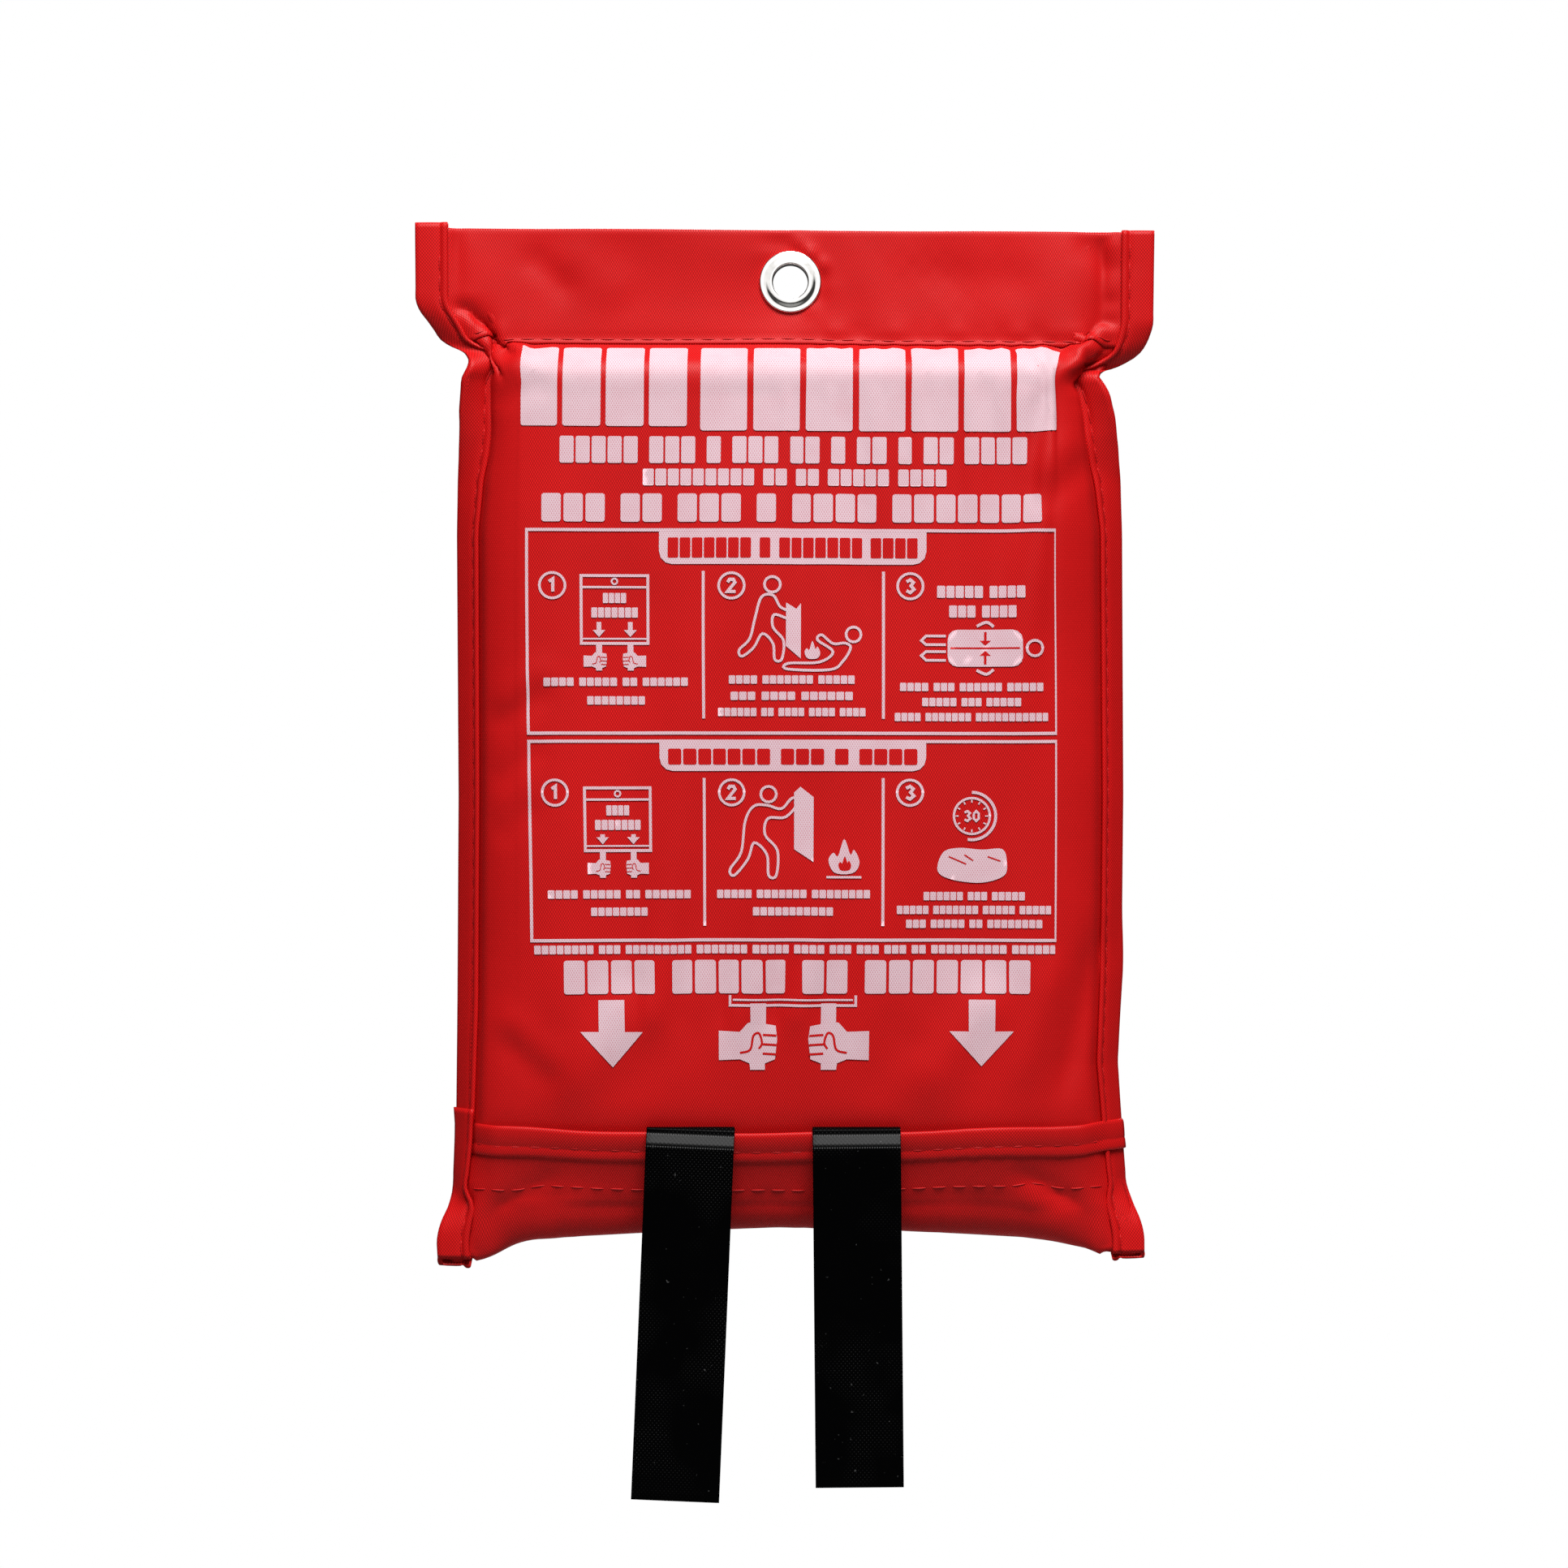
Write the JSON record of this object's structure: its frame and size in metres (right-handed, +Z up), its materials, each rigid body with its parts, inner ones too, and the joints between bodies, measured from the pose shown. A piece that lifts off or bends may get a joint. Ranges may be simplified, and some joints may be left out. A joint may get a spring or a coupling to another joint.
{
  "type": "fire blanket",
  "caption": "Folded fire blanket in a soft wall pouch with a hanging eyelet, a bottom pocket flap and pull-down tapes.",
  "frame": {"origin": "centre of the hanging eyelet's bore, in the header band's middle plane", "axes": "+Z up as hung, +Y towards the wall (the eyelet's axis), +X to the viewer's right"},
  "size_m": [0.255, 0.0297, 0.437],
  "materials": {
    "red_coated_cloth": "coated oxford weave, satin",
    "red_binding_tape": "folded woven tape, satin",
    "red_thread": "twisted thread",
    "nickel": "polished nickel plate",
    "black_webbing": "coated webbing, glossy",
    "black_thread": "twisted thread",
    "hook_tape": "hook side of touch-and-close tape",
    "loop_tape": "loop side of touch-and-close tape",
    "glass_cloth": "woven glass fibre, matt",
    "white_thread": "twisted thread"
  },
  "bodies": {
    "pouch": {"front_panel": "red_coated_cloth", "back_panel": "red_coated_cloth", "header_band": "red_coated_cloth", "header_stitching": "red_thread", "eyelet": "nickel", "eyelet_washer": "nickel", "loop_strip": "loop_tape", "loop_strip_stitching": "red_thread", "side_binding_left": "red_binding_tape", "side_binding_right": "red_binding_tape", "side_stitching_left": "red_thread", "side_stitching_right": "red_thread", "pocket_binding_left": "red_binding_tape", "pocket_binding_right": "red_binding_tape", "pocket_stitching_left": "red_thread", "pocket_stitching_right": "red_thread"},
    "bottom_flap": {"bottom_flap": "red_coated_cloth", "flap_edge_binding": "red_binding_tape", "flap_edge_stitching": "red_thread", "hook_strip": "hook_tape", "hook_strip_stitching": "red_thread"},
    "blanket": {"blanket_cloth": "glass_cloth", "blanket_hem_stitching": "white_thread", "tape_root_left": "black_webbing", "tape_root_right": "black_webbing", "tape_anchor_stitching_left": "black_thread", "tape_anchor_stitching_right": "black_thread"},
    "left_tape": {"pull_tape_left": "black_webbing"},
    "right_tape": {"pull_tape_right": "black_webbing"}
  },
  "joints": [
    {"name": "blanket_pull", "type": "slide", "parent": "pouch", "child": "blanket", "axis": [0, 0, -1], "range_m": [0, 0.33]},
    {"name": "flap_open", "type": "hinge", "parent": "pouch", "child": "bottom_flap", "pos_m": [0, 0.00978, -0.328], "axis": [1, 0, 0], "range_deg": [0, 50], "deforming": ["bottom_flap", "flap_edge_binding", "flap_edge_stitching", "hook_strip", "hook_strip_stitching"]},
    {"name": "left_tape_swing", "type": "hinge", "parent": "blanket", "child": "left_tape", "pos_m": [-0.034, -0.0193, -0.2915], "axis": [-1, 0, 0], "range_deg": [0, 120]},
    {"name": "right_tape_swing", "type": "hinge", "parent": "blanket", "child": "right_tape", "pos_m": [0.0225, -0.0193, -0.2915], "axis": [-1, 0, 0], "range_deg": [0, 120]}
  ],
  "couplings": [
    {"joint": "flap_open", "follows": "blanket_pull", "rad_per_m": 2.642}
  ]
}
